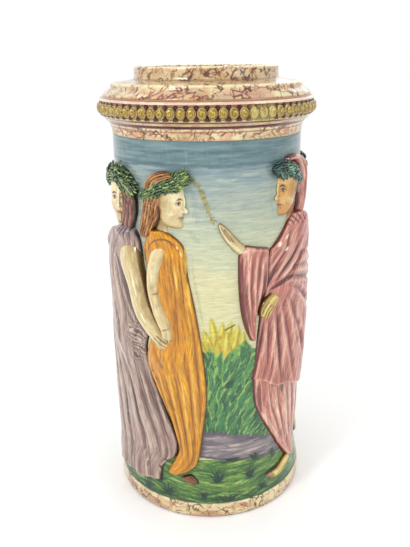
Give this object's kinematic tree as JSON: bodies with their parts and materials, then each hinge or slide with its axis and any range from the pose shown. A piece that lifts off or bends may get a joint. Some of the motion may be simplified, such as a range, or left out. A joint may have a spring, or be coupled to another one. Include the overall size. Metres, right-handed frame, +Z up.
{
  "type": "vase",
  "caption": "Tall cylindrical glazed earthenware vase with a wide open neck, an egg moulding under its cornice and draped, laurel-crowned figures in moulded relief round its wall.",
  "frame": {"origin": "middle of the foot's underside, on the surface the vase stands on", "axes": "+Z up along the vase's axis, the front of the relief towards -Y, +X to the right of someone facing the front"},
  "size_m": [0.2638, 0.2638, 0.552],
  "materials": {
    "marbled_glaze": "gloss tin glaze, cream marbled with pink-brown veins",
    "bare_clay": "unglazed buff earthenware",
    "sky_glaze": "gloss tin glaze brushed from blue-grey to pale yellow",
    "ground_glaze": "gloss tin glaze, grass greens",
    "egg_glaze": "gloss tin glaze, yellow eggs lined in brown",
    "skin_glaze": "gloss tin glaze, warm cream",
    "laurel_glaze": "gloss tin glaze, leaf greens",
    "hair_glaze": "gloss tin glaze, red-brown",
    "mauve_glaze": "gloss tin glaze, mauve brushed over cream",
    "orange_glaze": "gloss tin glaze, orange ochre",
    "pink_glaze": "gloss tin glaze, rose brushed over cream",
    "cream_glaze": "gloss tin glaze, warm white",
    "ochre_glaze": "gloss tin glaze, yellow ochre",
    "slate_glaze": "gloss tin glaze, blue-grey"
  },
  "bodies": {
    "root": {"foot_ring": "marbled_glaze", "floor_slab": "bare_clay", "body_wall": "sky_glaze", "ground_bank": "ground_glaze", "architrave_ring": "marbled_glaze", "bead_moulding": "egg_glaze", "cornice_ring": "marbled_glaze", "neck_collar": "marbled_glaze", "mauve_figure_robe": "mauve_glaze", "mauve_figure_head": "skin_glaze", "mauve_figure_hair": "hair_glaze", "mauve_figure_wreath": "laurel_glaze", "mauve_figure_arm": "skin_glaze", "orange_figure_robe": "orange_glaze", "orange_figure_head": "skin_glaze", "orange_figure_hair": "hair_glaze", "orange_figure_wreath": "laurel_glaze", "orange_figure_arm": "skin_glaze", "orange_figure_foot": "hair_glaze", "pink_figure_tunic": "pink_glaze", "pink_figure_mantle": "pink_glaze", "pink_figure_sleeve": "pink_glaze", "pink_figure_raised_hand": "skin_glaze", "pink_figure_lowered_hand": "ochre_glaze", "pink_figure_head": "skin_glaze", "pink_figure_hood": "pink_glaze", "pink_figure_wreath": "laurel_glaze", "pink_figure_foot": "ochre_glaze", "cream_figure_robe": "cream_glaze", "cream_figure_head": "skin_glaze", "cream_figure_hair": "hair_glaze", "cream_figure_wreath": "laurel_glaze", "cream_figure_arm": "skin_glaze", "ochre_figure_robe": "ochre_glaze", "ochre_figure_head": "skin_glaze", "ochre_figure_hair": "hair_glaze", "ochre_figure_wreath": "laurel_glaze", "ochre_figure_arm": "skin_glaze", "slate_figure_robe": "slate_glaze", "slate_figure_head": "skin_glaze", "slate_figure_hair": "hair_glaze", "slate_figure_wreath": "laurel_glaze", "slate_figure_arm": "skin_glaze"}
  },
  "joints": []
}
